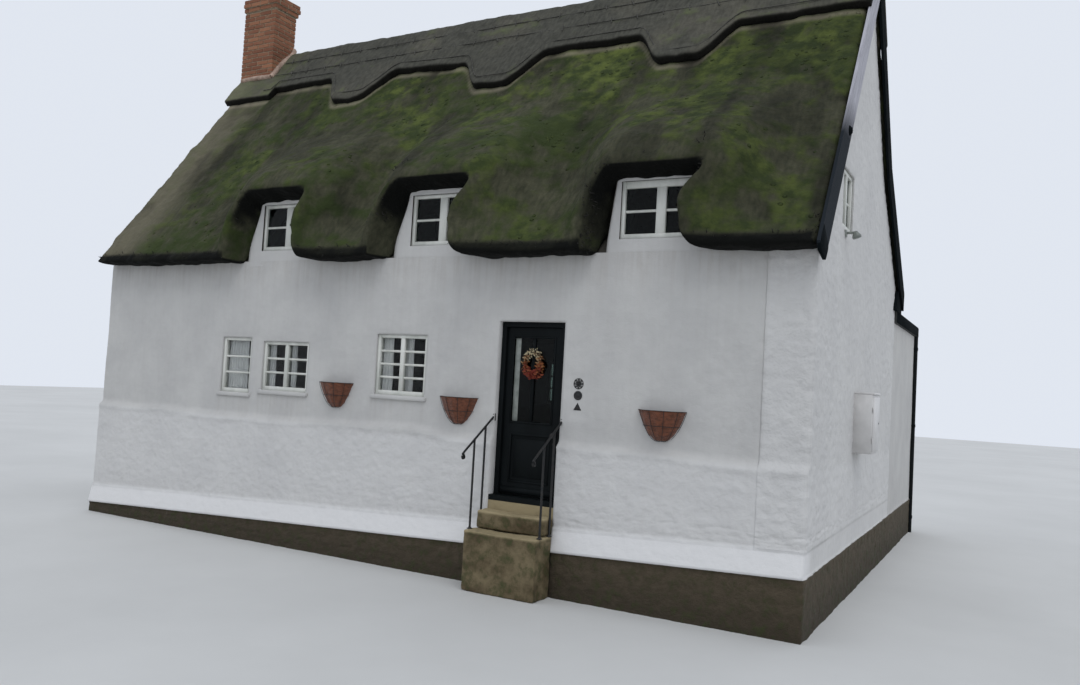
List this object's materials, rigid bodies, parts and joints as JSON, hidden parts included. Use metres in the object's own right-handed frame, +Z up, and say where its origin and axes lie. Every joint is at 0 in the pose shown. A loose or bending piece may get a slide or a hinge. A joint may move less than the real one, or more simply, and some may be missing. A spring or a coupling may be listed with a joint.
{
  "type": "thatched cottage",
  "caption": "Long low end-of-row cottage of whitewashed rubble stone with a thatched roof, eyebrow windows, a brick chimney, stone steps and a hinged front door.",
  "frame": {"origin": "underside of the wall below the front doorway, in the middle of the doorway on the plane of the front wall face, at the lowest ground level", "axes": "+X along the front to the right, +Y into the house, +Z up"},
  "size_m": [10.97, 9.5741, 9.2753],
  "materials": {
    "limewash": "rough limewashed rubble and render",
    "thatch": "weathered mossy straw",
    "ridge_thatch": "weathered block-cut ridge straw",
    "weathered_board": "weathered grey paint",
    "black_paint": "satin black paint",
    "white_paint": "white gloss paint",
    "glass": "clear window glass",
    "step_stone": "worn stone",
    "brick": "weathered orange-brown brick",
    "clay": "unglazed terracotta",
    "iron": "black painted iron",
    "wreath": "dried flowers",
    "coir": "coir liner in a wire frame",
    "cabinet_plastic": "matt off-white",
    "floor_boards": "bare boards",
    "roof_felt": "mineral roofing felt"
  },
  "bodies": {
    "house": {"front_wall_left": "limewash", "front_wall_right": "limewash", "front_wall_over_door": "limewash", "front_wall_under_door": "limewash", "right_gable_wall": "limewash", "party_wall": "limewash", "rear_wall": "limewash", "ground_floor": "floor_boards", "upper_floor": "floor_boards", "thatch_front": "thatch", "thatch_rear": "thatch", "thatch_ridge": "ridge_thatch", "verge_board_front": "weathered_board", "verge_board_rear": "black_paint", "chimney_stack": "brick", "chimney_pot": "clay", "front_window_1_frame": "white_paint", "front_window_1_glass": "glass", "front_window_2_frame": "white_paint", "front_window_2_glass": "glass", "front_window_3_frame": "white_paint", "front_window_3_glass": "glass", "eyebrow_window_1_frame": "white_paint", "eyebrow_window_1_glass": "glass", "eyebrow_window_2_frame": "white_paint", "eyebrow_window_2_glass": "glass", "eyebrow_window_3_frame": "white_paint", "eyebrow_window_3_glass": "glass", "rear_window_1": "white_paint", "rear_window_2": "white_paint", "rear_eyebrow_window_1": "white_paint", "rear_eyebrow_window_2": "white_paint", "gable_window": "white_paint", "extension_window": "white_paint", "door_post_left": "black_paint", "door_post_right": "black_paint", "door_head": "black_paint", "door_threshold": "step_stone", "bottom_step": "step_stone", "middle_step": "step_stone", "handrail_left": "iron", "handrail_right": "iron", "planter_1": "coir", "planter_2": "coir", "planter_3": "coir", "wall_rosette": "iron", "wall_disc": "iron", "wall_triangle": "iron", "meter_cabinet": "cabinet_plastic", "extension_walls": "limewash", "extension_floor": "floor_boards", "extension_roof": "roof_felt", "downpipe": "black_paint"},
    "front_door": {"door_leaf": "black_paint", "door_glass": "glass", "door_handle": "iron", "door_wreath": "wreath"}
  },
  "joints": [
    {"name": "front_door_hinge", "type": "hinge", "parent": "house", "child": "front_door", "pos_m": [-0.3775, 0.158, 1.99], "axis": [0, 0, 1], "range_deg": [0, 90]}
  ]
}
